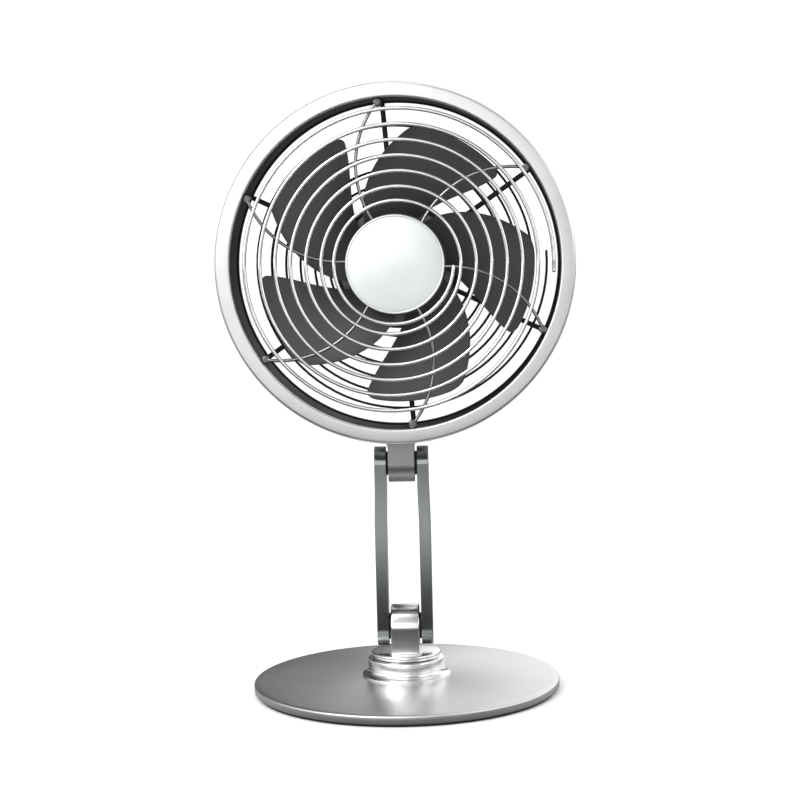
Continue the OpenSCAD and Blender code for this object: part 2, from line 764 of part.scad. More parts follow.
base_plate();
base_pad();
swivel_collar();
collar_screws();
slip_washer();
wave_washer();
swivel_disc();
swivel_nut();
turntable_bolt();
knuckle_block();
left_arm();
right_arm();
lower_pin();
upper_pin();
lower_disc_springs();
upper_disc_springs();
lower_pin_nut();
upper_pin_nut();
lower_friction_washers();
upper_friction_washers();
arm_caps();
head_bracket();
bracket_screws();
drum_shell();
bezel_ring();
duct_liner();
front_guard_spiral();
front_guard_spokes();
guard_screws();
hub_cap();
hub_clamp();
clamp_screws();
rear_frame();
rear_guard_spiral();
motor_case();
motor_screws();
stator_core();
stator_coils();
front_bearing();
rear_bearing();
rear_cover();
cover_screws();
control_board();
power_inlet();
speed_pot();
speed_knob();
motor_shaft();
rotor_magnet();
impeller_hub();
hub_nut();
for (i = [1 : blade_n]) blade(i);
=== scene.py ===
"""Looks of the desk fan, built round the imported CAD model.

Lengths in this file are millimetres, as in the CAD, and are turned into metres as a mesh is made.
Head pieces are drawn with z towards the front, y up and x to the right, about the fan's axis.
"""

import math

import bpy
from mathutils import Matrix, Vector


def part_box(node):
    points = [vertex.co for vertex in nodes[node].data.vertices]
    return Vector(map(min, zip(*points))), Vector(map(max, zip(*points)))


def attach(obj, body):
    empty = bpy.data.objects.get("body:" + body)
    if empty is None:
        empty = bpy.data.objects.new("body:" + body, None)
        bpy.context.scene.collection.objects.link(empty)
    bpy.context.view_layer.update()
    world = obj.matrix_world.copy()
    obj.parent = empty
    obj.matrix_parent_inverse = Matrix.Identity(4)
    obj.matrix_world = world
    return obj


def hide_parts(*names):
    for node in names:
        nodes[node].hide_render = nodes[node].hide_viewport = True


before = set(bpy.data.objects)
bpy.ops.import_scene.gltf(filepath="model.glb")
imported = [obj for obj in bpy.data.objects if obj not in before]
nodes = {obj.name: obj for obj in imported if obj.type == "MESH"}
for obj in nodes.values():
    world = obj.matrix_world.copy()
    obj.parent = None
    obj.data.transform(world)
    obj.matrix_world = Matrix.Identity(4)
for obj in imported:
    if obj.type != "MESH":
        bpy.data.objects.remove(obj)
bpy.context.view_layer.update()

MM = 0.001
TAU = 2 * math.pi

# Positions taken from the frame
bezel_low, bezel_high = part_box("bezel_ring")
head_z = (bezel_low.z + bezel_high.z) / 2 / MM
face_z = -bezel_low.y / MM
bezel_r = (bezel_high.x - bezel_low.x) / 2 / MM
base_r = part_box("base_plate")[1].x / MM
drum_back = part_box("drum_shell")[1].y / MM
cap_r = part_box("hub_cap")[1].x / MM
knob_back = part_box("speed_knob")[1].y / MM


def middle_z(node):
    low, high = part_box(node)
    return (low.z + high.z) / 2 / MM


lower_pin_z = middle_z("lower_pin")
upper_pin_z = middle_z("upper_pin")

UPRIGHT = Matrix.Identity(4)
HEAD = Matrix(((1, 0, 0, 0), (0, 0, -1, 0), (0, 1, 0, head_z), (0, 0, 0, 1)))


def pin_frame(z, side=1):
    """z along +X (or -X for side -1), y up, about a hinge pin"""
    return Matrix(((0, 0, side, 0), (side, 0, 0, 0), (0, 1, 0, z), (0, 0, 0, 1)))


# ---------------------------------------------------------------- materials


def tree(name):
    mat = bpy.data.materials.new(name)
    mat.use_nodes = True
    nt = mat.node_tree
    return mat, nt, nt.nodes["Principled BSDF"]


def link(nt, a, b):
    nt.links.new(a, b)


def add(nt, kind, **values):
    node = nt.nodes.new(kind)
    for key, value in values.items():
        setattr(node, key, value)
    return node


def math_node(nt, operation, a, b=None):
    node = add(nt, "ShaderNodeMath", operation=operation)
    for slot_index, value in enumerate((a, b)):
        if value is None:
            continue
        if isinstance(value, (int, float)):
            node.inputs[slot_index].default_value = value
        else:
            link(nt, value, node.inputs[slot_index])
    return node.outputs[0]


def stretched(nt, scale):
    """Object coordinates scaled per axis"""
    coords = add(nt, "ShaderNodeTexCoord")
    mapping = add(nt, "ShaderNodeMapping")
    mapping.inputs["Scale"].default_value = scale
    link(nt, coords.outputs["Object"], mapping.inputs["Vector"])
    return mapping.outputs["Vector"]


def polar(nt, ring_scale, turn_scale):
    """Object coordinates that run along the radius and round the z axis"""
    coords = add(nt, "ShaderNodeTexCoord")
    parts = add(nt, "ShaderNodeSeparateXYZ")
    link(nt, coords.outputs["Object"], parts.inputs[0])
    across, up, along = parts.outputs
    radius = math_node(nt, "SQRT", math_node(nt, "ADD", math_node(nt, "MULTIPLY", across, across),
                                             math_node(nt, "MULTIPLY", up, up)))
    angle = math_node(nt, "ARCTAN2", up, across)
    joined = add(nt, "ShaderNodeCombineXYZ")
    link(nt, math_node(nt, "MULTIPLY", radius, ring_scale), joined.inputs[0])
    link(nt, math_node(nt, "MULTIPLY", angle, turn_scale), joined.inputs[1])
    link(nt, math_node(nt, "MULTIPLY", along, ring_scale), joined.inputs[2])
    return joined.outputs[0]


def noise(nt, vector, scale, detail=3.0, roughness=0.55):
    node = add(nt, "ShaderNodeTexNoise")
    node.inputs["Scale"].default_value = scale
    node.inputs["Detail"].default_value = detail
    node.inputs["Roughness"].default_value = roughness
    link(nt, vector, node.inputs["Vector"])
    return node.outputs["Fac"]


def spread_values(nt, fac, low, high):
    node = add(nt, "ShaderNodeMapRange")
    node.inputs["From Min"].default_value = 0.25
    node.inputs["From Max"].default_value = 0.75
    node.inputs["To Min"].default_value = low
    node.inputs["To Max"].default_value = high
    link(nt, fac, node.inputs["Value"])
    return node.outputs["Result"]


def tint(nt, fac, dark, light, low=0.3, high=0.7):
    ramp = add(nt, "ShaderNodeValToRGB")
    ramp.color_ramp.elements[0].position = low
    ramp.color_ramp.elements[0].color = (*dark, 1)
    ramp.color_ramp.elements[1].position = high
    ramp.color_ramp.elements[1].color = (*light, 1)
    link(nt, fac, ramp.inputs["Fac"])
    return ramp.outputs["Color"]


def bump(nt, bsdf, height, distance):
    node = add(nt, "ShaderNodeBump")
    node.inputs["Strength"].default_value = 1.0
    node.inputs["Distance"].default_value = distance
    link(nt, height, node.inputs["Height"])
    link(nt, node.outputs["Normal"], bsdf.inputs["Normal"])


def shade(colour, amount):
    return tuple(c * amount for c in colour)


def satin_metal(name, colour, rough, depth=2e-6, metallic=1.0):
    """Blasted or satin metal: a fine grain, with faint cloudy handling marks"""
    grain, smudge, spread = 900.0, 0.05, 0.06
    mat, nt, bsdf = tree(name)
    coords = stretched(nt, (1, 1, 1))
    cloud = noise(nt, coords, 38.0, 4.0)
    fine = noise(nt, coords, grain, 2.0)
    link(nt, tint(nt, cloud, shade(colour, 1 - spread), shade(colour, 1 + spread / 2)),
         bsdf.inputs["Base Color"])
    link(nt, spread_values(nt, cloud, rough - smudge, rough + smudge), bsdf.inputs["Roughness"])
    bsdf.inputs["Metallic"].default_value = metallic
    bump(nt, bsdf, fine, depth)
    return mat


def brushed_metal(name, colour, rough, coords, depth, spread=0.1, aniso=0.0):
    """Brushed metal: long fine scratches in the colour, the gloss and the bump"""
    mat, nt, bsdf = tree(name)
    vector = coords(nt)
    lines = noise(nt, vector, 1.0, 5.0, 0.7)
    cloud = noise(nt, stretched(nt, (1, 1, 1)), 30.0, 3.0)
    mixed = math_node(nt, "ADD", math_node(nt, "MULTIPLY", lines, 0.7),
                      math_node(nt, "MULTIPLY", cloud, 0.3))
    link(nt, tint(nt, mixed, shade(colour, 1 - spread), shade(colour, 1 + spread / 2)),
         bsdf.inputs["Base Color"])
    link(nt, spread_values(nt, mixed, rough - 0.07, rough + 0.07), bsdf.inputs["Roughness"])
    bsdf.inputs["Metallic"].default_value = 1.0
    if aniso:
        bsdf.inputs["Anisotropic"].default_value = aniso
        direction = add(nt, "ShaderNodeTangent", direction_type="RADIAL", axis="Z")
        link(nt, direction.outputs[0], bsdf.inputs["Tangent"])
    bump(nt, bsdf, lines, depth)
    return mat


def moulded(name, colour, rough, grain=700.0, depth=1.2e-5, spread=0.12, spec=0.5):
    """Moulded plastic or rubber with a fine eroded texture and light dust"""
    mat, nt, bsdf = tree(name)
    coords = stretched(nt, (1, 1, 1))
    fine = noise(nt, coords, grain, 3.0)
    cloud = noise(nt, coords, 45.0, 4.0)
    link(nt, tint(nt, cloud, shade(colour, 1 - spread), shade(colour, 1 + spread)), bsdf.inputs["Base Color"])
    link(nt, spread_values(nt, cloud, rough - 0.05, rough + 0.06), bsdf.inputs["Roughness"])
    bsdf.inputs["Specular IOR Level"].default_value = spec
    bump(nt, bsdf, fine, depth)
    return mat


def drawn_wire(name, colour, rough, metallic=1.0):
    """Wire with fine die lines and a little uneven gloss"""
    mat, nt, bsdf = tree(name)
    coords = stretched(nt, (1, 1, 1))
    blotch = noise(nt, coords, 160.0, 4.0)
    fine = noise(nt, coords, 2400.0, 2.0)
    link(nt, tint(nt, blotch, shade(colour, 0.86), shade(colour, 1.04)), bsdf.inputs["Base Color"])
    link(nt, spread_values(nt, blotch, rough - 0.05, rough + 0.07), bsdf.inputs["Roughness"])
    bsdf.inputs["Metallic"].default_value = metallic
    bump(nt, bsdf, fine, 2e-6)
    return mat


def laminated(name):
    """Stacked sheet steel: lines across the fan's axis"""
    mat, nt, bsdf = tree(name)
    vector = stretched(nt, (20, 2000, 20))
    lines = noise(nt, vector, 1.0, 1.0)
    link(nt, tint(nt, lines, (0.16, 0.17, 0.19), (0.42, 0.43, 0.45)), bsdf.inputs["Base Color"])
    bsdf.inputs["Metallic"].default_value = 1.0
    link(nt, spread_values(nt, lines, 0.35, 0.55), bsdf.inputs["Roughness"])
    bump(nt, bsdf, lines, 2e-5)
    return mat


def winding(name):
    """Enamelled copper turns"""
    mat, nt, bsdf = tree(name)
    wave = add(nt, "ShaderNodeTexWave", wave_type="BANDS", bands_direction="DIAGONAL")
    wave.inputs["Scale"].default_value = 420.0
    wave.inputs["Distortion"].default_value = 1.5
    link(nt, stretched(nt, (1, 1, 1)), wave.inputs["Vector"])
    link(nt, tint(nt, wave.outputs["Fac"], (0.28, 0.09, 0.03), (0.75, 0.33, 0.14)), bsdf.inputs["Base Color"])
    bsdf.inputs["Metallic"].default_value = 0.9
    link(nt, spread_values(nt, wave.outputs["Fac"], 0.25, 0.4), bsdf.inputs["Roughness"])
    bump(nt, bsdf, wave.outputs["Fac"], 1.5e-4)
    return mat


def circuit(name):
    """Green solder resist with paler tracks"""
    mat, nt, bsdf = tree(name)
    cells = add(nt, "ShaderNodeTexVoronoi", feature="DISTANCE_TO_EDGE", distance="CHEBYCHEV")
    cells.inputs["Scale"].default_value = 260.0
    link(nt, stretched(nt, (1, 1, 1)), cells.inputs["Vector"])
    link(nt, tint(nt, cells.outputs["Distance"], (0.05, 0.22, 0.09), (0.012, 0.09, 0.035), 0.04, 0.1),
         bsdf.inputs["Base Color"])
    cloud = noise(nt, stretched(nt, (1, 1, 1)), 60.0)
    link(nt, spread_values(nt, cloud, 0.25, 0.4), bsdf.inputs["Roughness"])
    bump(nt, bsdf, cells.outputs["Distance"], 3e-5)
    return mat


def along_axis(x, y, z):
    return lambda nt: stretched(nt, (x, y, z))


def round_axis(ring_scale, turn_scale):
    return lambda nt: polar(nt, ring_scale, turn_scale)


satin_silver = satin_metal("satin_silver", (0.78, 0.785, 0.79), 0.36)
pearl_silver = satin_metal("pearl_silver", (0.78, 0.81, 0.80), 0.34, metallic=0.75)
bright_wire = drawn_wire("bright_wire", (0.88, 0.88, 0.87), 0.1)
# Painted shade: the spokes' bright wire, painted darker to stand in for the dark reflections along them
bright_wire_painted_dark = drawn_wire("bright_wire_painted_dark", (0.30, 0.30, 0.30), 0.09)
polished = brushed_metal("polished_metal", (0.88, 0.88, 0.885), 0.18, round_axis(3000, 3),
                         depth=1e-6, spread=0.04)
polished_block = brushed_metal("polished_block", (0.84, 0.84, 0.85), 0.16, along_axis(40, 3000, 3000),
                               depth=1.5e-6)
brushed_base = brushed_metal("brushed_base", (0.74, 0.74, 0.745), 0.33, round_axis(2600, 4),
                             depth=5e-7, spread=0.04, aniso=0.5)
arm_metal = brushed_metal("arm_metal", (0.29, 0.305, 0.31), 0.16, along_axis(2500, 2500, 45), depth=6e-7)
bracket_metal = brushed_metal("bracket_metal", (0.36, 0.36, 0.365), 0.4, along_axis(2500, 2500, 60),
                              depth=4e-7, spread=0.05)
dark_blade = moulded("dark_blade", (0.052, 0.052, 0.054), 0.5, depth=8e-6, spread=0.08)
duct_black = moulded("duct_black", (0.010, 0.010, 0.011), 0.6, grain=500.0, depth=1e-5, spec=0.12)
black_plastic = moulded("black_plastic", (0.014, 0.014, 0.015), 0.42)
black_wire = drawn_wire("black_wire", (0.012, 0.012, 0.013), 0.33, metallic=0.0)
black_rubber = moulded("black_rubber", (0.018, 0.018, 0.018), 0.78, grain=1400.0, depth=3e-5)
motor_metal = satin_metal("motor_metal", (0.20, 0.20, 0.21), 0.45)
magnet = satin_metal("magnet", (0.06, 0.06, 0.065), 0.5, depth=6e-6)
core_steel = laminated("core_steel")
copper_wire = winding("copper_wire")
board_green = circuit("board_green")
steel = satin_metal("fastener_steel", (0.42, 0.42, 0.43), 0.3)
nylon = moulded("nylon", (0.62, 0.61, 0.57), 0.5, spread=0.05)

# ---------------------------------------------------------------- mesh code


def build(name, points, faces, place, material, body, replaced=(), slot=None, sharp=40.0):
    """A mesh piece from points in millimetres"""
    mesh = bpy.data.meshes.new(name)
    mesh.from_pydata([place @ Vector(p) * MM for p in points], [], faces)
    mesh.validate()
    mesh.shade_smooth()
    mesh.set_sharp_from_angle(angle=math.radians(sharp))
    mesh.materials.append(material)
    piece = bpy.data.objects.new(name, mesh)
    bpy.context.scene.collection.objects.link(piece)
    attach(piece, body)
    if replaced:
        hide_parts(*replaced)
    return piece


def rounded(corners, closed=True, steps=6):
    """A polyline of (a, b, fillet radius) corners, with each corner rounded"""
    out = []
    n = len(corners)
    for i, (a, b, r) in enumerate(corners):
        here = Vector((a, b))
        if r <= 0 or (not closed and i in (0, n - 1)):
            out.append((a, b))
            continue
        before = Vector(corners[i - 1][:2]) - here
        after = Vector(corners[(i + 1) % n][:2]) - here
        turn = before.angle(after)
        cut = min(r / math.tan(turn / 2), before.length * 0.5, after.length * 0.5)
        r = cut * math.tan(turn / 2)
        start = here + before.normalized() * cut
        end = here + after.normalized() * cut
        centre = here + (before.normalized() + after.normalized()).normalized() * (r / math.sin(turn / 2))
        first, last = start - centre, end - centre
        sweep = first.angle_signed(last)
        for k in range(steps + 1):
            t = -sweep * k / steps
            spin = Matrix.Rotation(t, 2)
            p = centre + spin @ first
            out.append((p.x, p.y))
    return out


def rings(profile, steps=128, closed=False):
    """Points and faces of a turned shape, from (radius, z) pairs; a radius may be a function of the angle"""
    points, rows = [], []
    for r, z in profile:
        if not callable(r) and abs(r) < 1e-6:
            rows.append([len(points)] * steps)
            points.append((0, 0, z))
            continue
        row = []
        for k in range(steps):
            a = TAU * k / steps
            rr = r(a) if callable(r) else r
            row.append(len(points))
            points.append((rr * math.cos(a), rr * math.sin(a), z))
        rows.append(row)
    faces = []
    pairs = list(zip(rows, rows[1:]))
    if closed:
        pairs.append((rows[-1], rows[0]))
    for low, high in pairs:
        for k in range(steps):
            j = (k + 1) % steps
            face = [low[k], low[j], high[j], high[k]]
            face = [v for i, v in enumerate(face) if v != face[i - 1]]
            if len(face) > 2:
                faces.append(face)
    return points, faces


def moved(points, dx=0, turn=0):
    """Points moved outwards by dx, then turned about z by an angle in degrees"""
    c, s = math.cos(math.radians(turn)), math.sin(math.radians(turn))
    return [(c * (x + dx) - s * y, s * (x + dx) + c * y, z) for x, y, z in points]


def join(*parts):
    points, faces = [], []
    for more_points, more_faces in parts:
        offset = len(points)
        points += more_points
        faces += [[v + offset for v in face] for face in more_faces]
    return points, faces


def wire(path, radius, sides=16):
    """A round wire along a path, with rounded ends"""
    path = [Vector(p) for p in path]
    first = (path[0] - path[1]).normalized()
    last = (path[-1] - path[-2]).normalized()
    bulge = [(0.5, 0.87), (0.87, 0.5), (1.0, 0.06)]  # reach past the end and girth, both in wire radii
    girth = [s for _, s in reversed(bulge)] + [1.0] * len(path) + [s for _, s in bulge]
    path = [path[0] + first * radius * d for d, _ in reversed(bulge)] + path \
        + [path[-1] + last * radius * d for d, _ in bulge]
    points, faces = [], []
    normal = Vector((0, 0, 1))
    for i, p in enumerate(path):
        ahead = path[min(i + 1, len(path) - 1)] - path[max(i - 1, 0)]
        ahead.normalize()
        normal = (normal - ahead * normal.dot(ahead)).normalized()
        side = ahead.cross(normal)
        for k in range(sides):
            a = TAU * k / sides
            q = p + (normal * math.cos(a) + side * math.sin(a)) * radius * girth[i]
            points.append(tuple(q))
    for i in range(len(path) - 1):
        for k in range(sides):
            j = (k + 1) % sides
            faces.append([i * sides + k, i * sides + j, (i + 1) * sides + j, (i + 1) * sides + k])
    faces.append(list(range(sides)))
    faces.append([(len(path) - 1) * sides + k for k in reversed(range(sides))])
    return points, faces


def slab(outline, low, high, edge, steps=4):
    """A flat part cut from an outline, with its edges rounded"""
    n = len(outline)
    flat = [Vector(p) for p in outline]
    area = sum(flat[i - 1].x * flat[i].y - flat[i].x * flat[i - 1].y for i in range(n))
    if area < 0:
        flat.reverse()
    normals = []
    for i in range(n):
        along = (flat[(i + 1) % n] - flat[i - 1]).normalized()
        normals.append(Vector((along.y, -along.x)))
    layers = []
    for k in range(steps + 1):
        t = math.pi / 2 * k / steps
        layers.append((edge * (1 - math.sin(t)), low + edge * (1 - math.cos(t))))
    layers += [(inset, low + high - z) for inset, z in reversed(layers)]
    points, faces = [], []
    for inset, z in layers:
        points += [(p.x - nrm.x * inset, p.y - nrm.y * inset, z) for p, nrm in zip(flat, normals)]
    for layer in range(len(layers) - 1):
        for k in range(n):
            j = (k + 1) % n
            faces.append([layer * n + k, layer * n + j, (layer + 1) * n + j, (layer + 1) * n + k])
    faces.append(list(reversed(range(n))))
    faces.append([(len(layers) - 1) * n + k for k in range(n)])
    return points, faces


def polygon_radius(sides, across, turn=0.0):
    """Radius of a regular polygon of a given width across its flats, at an angle"""
    def radius(a):
        step = TAU / sides
        return across / 2 / math.cos((a - turn + step / 2) % step - step / 2)
    return radius


def socket_screw(head_r, head_low, head_high, shank_r, tip):
    """A low domed screw with a hexagon socket, its head towards +z"""
    hexagon = polygon_radius(6, 2 * head_r * 0.55 * 0.86)
    head_h = head_high - head_low
    depth = head_h * 0.6
    return rings([
        (0, tip), (shank_r * 0.8, tip), (shank_r, tip + shank_r * 0.3), (shank_r, head_low),
        (head_r * 0.97, head_low), (head_r, head_low + 0.08), (head_r, head_low + head_h * 0.35),
        (head_r * 0.9, head_high - head_h * 0.18), (head_r * 0.76, head_high),
        (hexagon, head_high), (hexagon, head_high - depth), (0, head_high - depth)], steps=24)


# ---------------------------------------------------------------- base and turntable

pad_t = 1.6
base_h = 7.0
base_top = 9.0
seat_r = 28.4
disc_low, disc_top = 21.2, 24.4
bore_r = 2.6
stud_r = 8.0
crown = [(seat_r + (base_r - 1.2 - seat_r) * s / 24, base_top - (base_top - base_h) * (s / 24) ** 2)
         for s in range(25)]
base_profile = [(9.0, base_top), (18.0, base_top)] + crown + [
    (base_r - 0.75, base_h - 0.12), (base_r - 0.35, base_h - 0.35), (base_r - 0.1, base_h - 0.7),
    (base_r, base_h - 1.15), (base_r, pad_t + 1.2), (base_r - 0.12, pad_t + 0.75),
    (base_r - 0.4, pad_t + 0.35), (base_r - 0.9, pad_t), (24.0, pad_t), (24.0, pad_t + 3.6),
    (9.0, pad_t + 3.6)]
build("base_disc", *rings(base_profile, 256, closed=True), UPRIGHT, brushed_base, "base",
      ("base_plate",), "brushed_base", 30)

pad_profile = rounded([(0, 0, 0), (base_r - 2, 0, 0.5), (base_r - 2, pad_t, 0), (0, pad_t, 0)], closed=False)
build("rubber_foot", *rings(pad_profile, 192), UPRIGHT, black_rubber, "base", ("base_pad",), "black_rubber")

collar_profile = [(8.05, base_top), (27.7, base_top), (27.9, base_top + 0.25), (27.9, base_top + 1.0)]
collar_profile += [(27.9 - 3.9 * math.sin(t), base_top + 5.1 - 3.9 * math.cos(t))
                   for t in (math.pi / 2 * k / 14 for k in range(1, 15))]
collar_profile += [(24.0, base_top + 10.6), (23.85, base_top + 11.1), (23.4, base_top + 11.45),
                   (22.9, base_top + 11.6), (8.05, base_top + 11.6)]
build("collar", *rings(collar_profile, 192, closed=True), UPRIGHT, polished, "base", ("swivel_collar",),
      "polished_metal", 35)

disc_profile = [(bore_r, disc_low), (21.6, disc_low), (21.8, 21.32), (21.9, 21.6), (21.9, 23.5), (21.7, 24.0),
                (21.3, 24.3), (20.8, disc_top), (bore_r, disc_top)]
stud_profile = [(bore_r, 2.2), (7.6, 2.2), (stud_r, 2.6), (stud_r, disc_low)]
build("turning_disc", *join(rings(disc_profile, 160, closed=True), rings(stud_profile, 64)), UPRIGHT, polished,
      "turntable", ("swivel_disc",), "polished_metal", 35)

# Knuckle: an arch in side view, polished, with rounded edges
knuckle_r, knuckle_half = 13.8, 8.95
foot_z = disc_top - lower_pin_z
arch = [(-knuckle_r, foot_z + 0.2), (-knuckle_r, foot_z / 2)]
arch += [(-knuckle_r * math.cos(t), knuckle_r * math.sin(t)) for t in (math.pi * k / 40 for k in range(41))]
arch += [(knuckle_r, foot_z / 2), (knuckle_r, foot_z + 0.2), (knuckle_r - 0.2, foot_z),
         (-knuckle_r + 0.2, foot_z)]
build("knuckle", *slab(arch, -knuckle_half, knuckle_half, 0.9), pin_frame(lower_pin_z), polished_block,
      "turntable", ("knuckle_block",), "polished_metal", 35)

# ---------------------------------------------------------------- neck


def washers(name, z, radius, low, high, body, node):
    """A pair of washers, one on each side of a hinge"""
    ring = rounded([(4.1, low, 0.1), (radius, low, 0.3), (radius, high, 0.3), (4.1, high, 0.1)])
    one = rings(ring, 64, closed=True)
    other = ([(x, y, -h) for x, y, h in one[0]], [list(reversed(f)) for f in one[1]])
    build(name, *join(one, other), pin_frame(z), black_plastic, body, (node,), "nylon")


washers("lower_washers", lower_pin_z, 8.2, 8.96, 10.29, "arms", "lower_friction_washers")
washers("upper_washers", upper_pin_z, 7.5, 8.21, 9.69, "arms", "upper_friction_washers")


def cap(radius, outer):
    """The cover of a hinge pin's end"""
    return rings([(0, outer - 0.9), (radius - 0.15, outer - 0.9), (radius - 0.15, outer - 0.3),
                  (radius - 0.32, outer - 0.1), (radius - 0.6, outer - 0.02), (radius * 0.55, outer),
                  (0, outer)], 64)


caps = []
for z, radius, outer in ((lower_pin_z, 8.4, 17.5), (upper_pin_z, 7.5, 16.9)):
    for side in (1, -1):
        points, faces = cap(radius, outer)
        place = pin_frame(z, side)
        caps.append(([tuple(place @ Vector(p)) for p in points], faces))
build("pin_caps", *join(*caps), UPRIGHT, arm_metal, "arms", ("arm_caps",), "arm_metal", 50)

# ---------------------------------------------------------------- head shell

lip_z = face_z - 2
bezel_profile = rounded([
    (bezel_r, face_z - 7, 0.3), (bezel_r, face_z - 0.6, 2.0), (99.8, face_z + 0.05, 1.0),
    (99.8, lip_z - 2.2, 0.2), (101.4, lip_z - 2.2, 0.2), (101.4, lip_z, 0.2), (bezel_r - 1.6, lip_z, 0.2),
    (bezel_r - 1.6, face_z - 7, 0.3)], steps=8)
build("bezel", *rings(bezel_profile, 320, closed=True), HEAD, satin_silver, "head", ("bezel_ring",),
      "satin_silver", 35)

drum_profile = rounded([
    (107.9, -drum_back, 1.2), (107.9, face_z - 7.5, 0.25), (106.8, face_z - 7.5, 0.1),
    (106.8, lip_z - 0.1, 0.1), (105.3, lip_z - 0.1, 0.1), (105.3, 30, 0.1), (106.4, 30, 0.1),
    (106.4, -drum_back + 1.5, 0.4), (104.7, -drum_back + 1.5, 0.1), (104.7, -drum_back, 0.3)])
build("drum", *rings(drum_profile, 320, closed=True), HEAD, satin_silver, "head", ("drum_shell",),
      "satin_silver", 35)

liner_in_r, liner_out_r = 103.3, 104.6
liner_back, liner_front = -34.8, lip_z - 2.3
liner_profile = rounded([(liner_out_r, liner_back, 0.2), (liner_out_r, liner_front, 0.2),
                         (liner_in_r, liner_front, 0.3), (liner_in_r, liner_back, 0.4)])
liner = rings(liner_profile, 320, closed=True)
wire_r, spoke_r = 1.15, 1.0
spiral_start = -3.6
spoke_start = -5.4
spoke_sweep = -19.6
ring_r = 97.2
spiral_z = face_z - wire_r
spoke_z = spiral_z - wire_r - spoke_r
eyelet_z = spoke_z - spoke_r
lugs = []
for i in range(6):
    foot = eyelet_z - 7
    post = rings([(0, foot), (2.2, foot), (2.4, foot + 0.3), (2.4, eyelet_z - 0.3), (2.15, eyelet_z - 0.02),
                  (1.0, eyelet_z - 0.02), (1.0, foot + 1.4), (0, foot + 1.4)], 32)
    web = slab([(0, -1.6), (6.3, -1.6), (6.3, 1.6), (0, 1.6)], foot, foot + 4, 0.3)
    both = join(post, web)
    lugs.append((moved(both[0], dx=ring_r, turn=spoke_start + spoke_sweep + 60 * i), both[1]))
build("duct", *join(liner, *lugs), HEAD, duct_black, "head", ("duct_liner",), "black_plastic", 35)

# ---------------------------------------------------------------- guards

spiral_in = 35.2
spiral_pitch = 9.27


def spiral_r(k):
    """Radius at which half turn k of the spiral starts; the first steps are smaller"""
    return spiral_in + (1.5 * k if k < 2 else 4.5 + (k - 2) * spiral_pitch / 2)


def spiral_path(z, first, start, flip=1):
    """Half circles that join up, from half turn first on; flip -1 winds it the other way"""
    path = []
    for k in range(first, 14):
        now, after = spiral_r(k), spiral_r(k + 1)
        side = 1 if k % 2 == 0 else -1
        steps = 44
        for i in range(steps + (k == 13)):
            a = (0 if side > 0 else math.pi) - math.pi * i / steps
            x = side * (now - after) / 2 + (now + after) / 2 * math.cos(a)
            y = (now + after) / 2 * math.sin(a)
            c, s = math.cos(math.radians(start)), math.sin(math.radians(start))
            path.append((c * x - s * y, (s * x + c * y) * flip, z))
    return path


build("front_spiral", *wire(spiral_path(spiral_z, 0, spiral_start), wire_r, 20), HEAD, bright_wire, "head",
      ("front_guard_spiral",), "bright_wire", 60)

bend_r = 60.0


def spoke_path():
    start = Vector((26.0, 0.0))
    sweep = math.radians(spoke_sweep)
    end = Vector((ring_r * math.cos(sweep), ring_r * math.sin(sweep)))
    chord = end - start
    half = math.asin(chord.length / 2 / bend_r)
    heading = math.atan2(chord.y, chord.x) + half
    centre = start + bend_r * Vector((math.sin(heading), -math.cos(heading)))
    first = heading + math.pi / 2
    length = 2 * half - 2.0 / bend_r
    angles = [first - length * k / 40 for k in range(41)]
    return [(centre.x + bend_r * math.cos(a), centre.y + bend_r * math.sin(a), spoke_z) for a in angles]


spokes, screws = [], []
for i in range(6):
    points, faces = wire(spoke_path(), spoke_r)
    spokes.append((moved(points, turn=spoke_start + 60 * i), faces))
    eyelet = rings(rounded([(1.1, eyelet_z, 0.35), (2.3, eyelet_z, 0.45), (2.3, eyelet_z + 1, 0.45),
                            (1.1, eyelet_z + 1, 0.35)]), 40, closed=True)
    spokes.append((moved(eyelet[0], dx=ring_r, turn=spoke_start + spoke_sweep + 60 * i), eyelet[1]))
    screw = socket_screw(1.9, eyelet_z + 1.01, eyelet_z + 1.55, 0.97, eyelet_z - 5.4)
    screws.append((moved(screw[0], dx=ring_r, turn=spoke_start + spoke_sweep + 60 * i), screw[1]))
# The spokes wear the bright wire painted darker: a painted shade for their dark reflections
build("front_spokes", *join(*spokes), HEAD, bright_wire_painted_dark, "head", ("front_guard_spokes",), "bright_wire", 60)
build("eyelet_screws", *join(*screws), HEAD, motor_metal, "head", ("guard_screws",), "fastener_steel", 30)

rim_z = face_z - 0.4
dome_r = cap_r - 1.4
dome = 2.4
sphere_r = (dome_r ** 2 + dome ** 2) / (2 * dome)
cap_low = spoke_z + spoke_r
cap_profile = [(0, cap_low), (cap_r - 0.8, cap_low), (cap_r - 0.25, cap_low + 0.2), (cap_r, cap_low + 0.7),
               (cap_r, rim_z - 0.45), (cap_r - 0.12, rim_z - 0.2), (cap_r - 0.35, rim_z - 0.04),
               (cap_r - 0.6, rim_z),
               (dome_r + 0.45, rim_z - 0.02), (dome_r + 0.3, rim_z - 0.12), (dome_r + 0.22, rim_z - 0.5),
               (dome_r + 0.06, rim_z - 0.45), (dome_r - 0.1, rim_z - 0.02)]
cap_profile += [(r, rim_z + dome - sphere_r + math.sqrt(sphere_r ** 2 - r ** 2))
                for r in (dome_r * (1 - k / 20) for k in range(1, 21))]
build("cap", *rings(cap_profile, 192), HEAD, pearl_silver, "head", ("hub_cap",), "satin_silver", 40)

